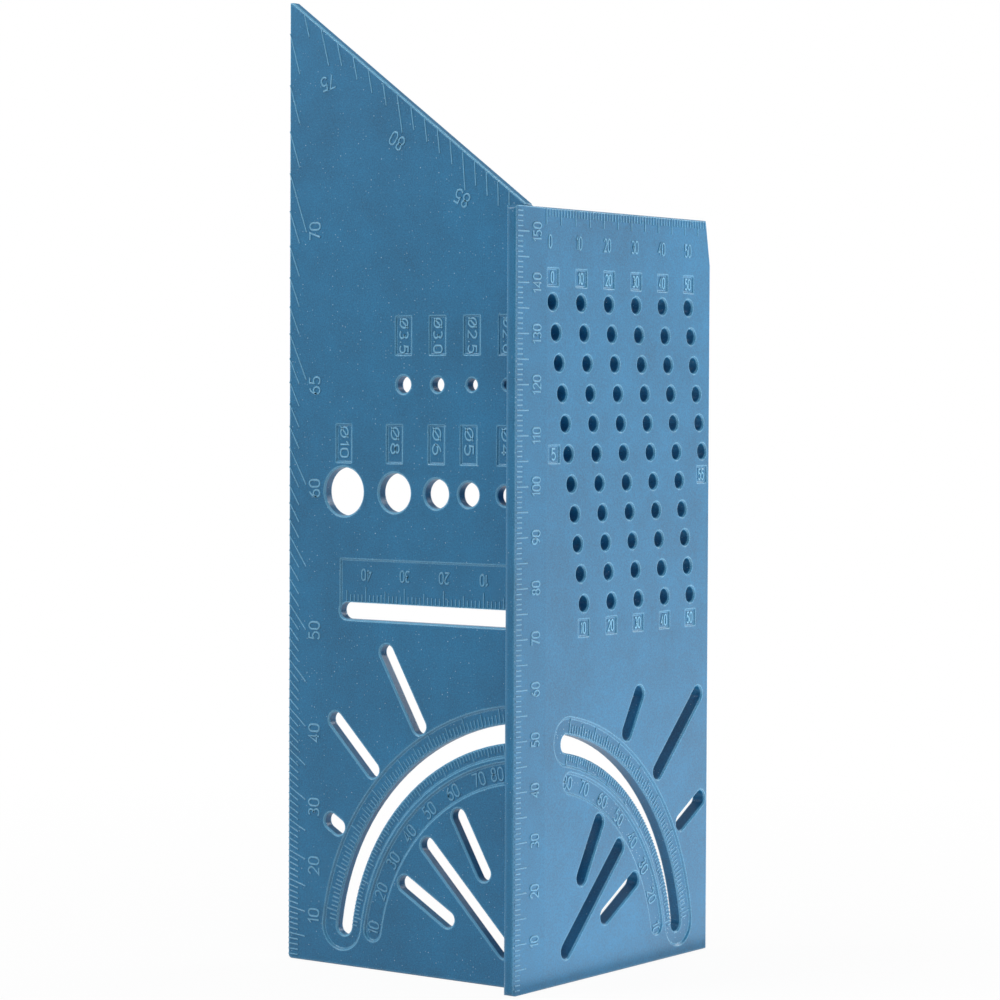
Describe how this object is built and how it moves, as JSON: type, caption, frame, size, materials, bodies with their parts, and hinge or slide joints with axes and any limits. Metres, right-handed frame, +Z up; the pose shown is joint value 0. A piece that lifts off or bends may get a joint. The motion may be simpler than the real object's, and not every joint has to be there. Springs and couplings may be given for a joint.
{
  "type": "three-dimensional mitre square",
  "caption": "Marking square of perforated plastic plates at a right angle: a scaled fence with pencil holes and a mitre blade with gauge holes, protractor slots and a sloping end.",
  "frame": {"origin": "middle of the tool's bounding box, on the surface that its lower edges stand on", "axes": "+Z up the fence's long scale, +X from the blade's free edge towards the fence, +Y from the fence's lip towards its far edge"},
  "size_m": [0.0634, 0.07, 0.199],
  "materials": {
    "blue_plastic": "satin moulded, fine grain"
  },
  "bodies": {
    "root": {"fence_plate": "blue_plastic", "mitre_blade": "blue_plastic"}
  },
  "joints": []
}
